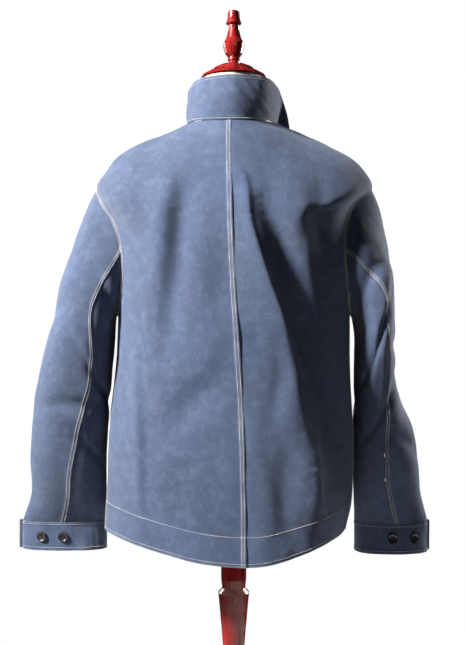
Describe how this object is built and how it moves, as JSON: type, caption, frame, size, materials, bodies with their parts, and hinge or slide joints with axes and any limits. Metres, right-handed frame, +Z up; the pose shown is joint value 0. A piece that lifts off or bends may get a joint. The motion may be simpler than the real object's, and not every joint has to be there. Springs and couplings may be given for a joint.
{
  "type": "twill jacket on a dress form",
  "caption": "Navy cotton twill work jacket, collar turned up, hanging open at hem and cuffs on a limbless dress form with a turned pole and a round base.",
  "frame": {"origin": "on the floor, under the middle of the stand's base", "axes": "+Z up, -Y the jacket's front, +Y its back, +X its own left"},
  "size_m": [0.6597, 0.35, 1.6196],
  "materials": {
    "navy_twill": "washed cotton twill with pale topstitching",
    "dark_horn": "dark dished buttons",
    "cream_cover": "plain cream cotton cover",
    "mahogany_varnish": "glossy dark red varnish"
  },
  "bodies": {
    "root": {"back_left": "navy_twill", "back_right": "navy_twill", "front_left": "navy_twill", "front_right": "navy_twill", "collar": "navy_twill", "sleeve_left_upper": "navy_twill", "sleeve_left_under": "navy_twill", "sleeve_right_upper": "navy_twill", "sleeve_right_under": "navy_twill", "cuff_left": "navy_twill", "cuff_right": "navy_twill", "cuff_button_left_1": "dark_horn", "cuff_button_left_2": "dark_horn", "cuff_button_right_1": "dark_horn", "cuff_button_right_2": "dark_horn", "front_button_1": "dark_horn", "front_button_2": "dark_horn", "front_button_3": "dark_horn", "front_button_4": "dark_horn", "front_button_5": "dark_horn", "front_button_6": "dark_horn", "form_torso": "cream_cover", "neck_cap": "mahogany_varnish", "finial": "mahogany_varnish", "pole": "mahogany_varnish", "base": "mahogany_varnish"}
  },
  "joints": []
}
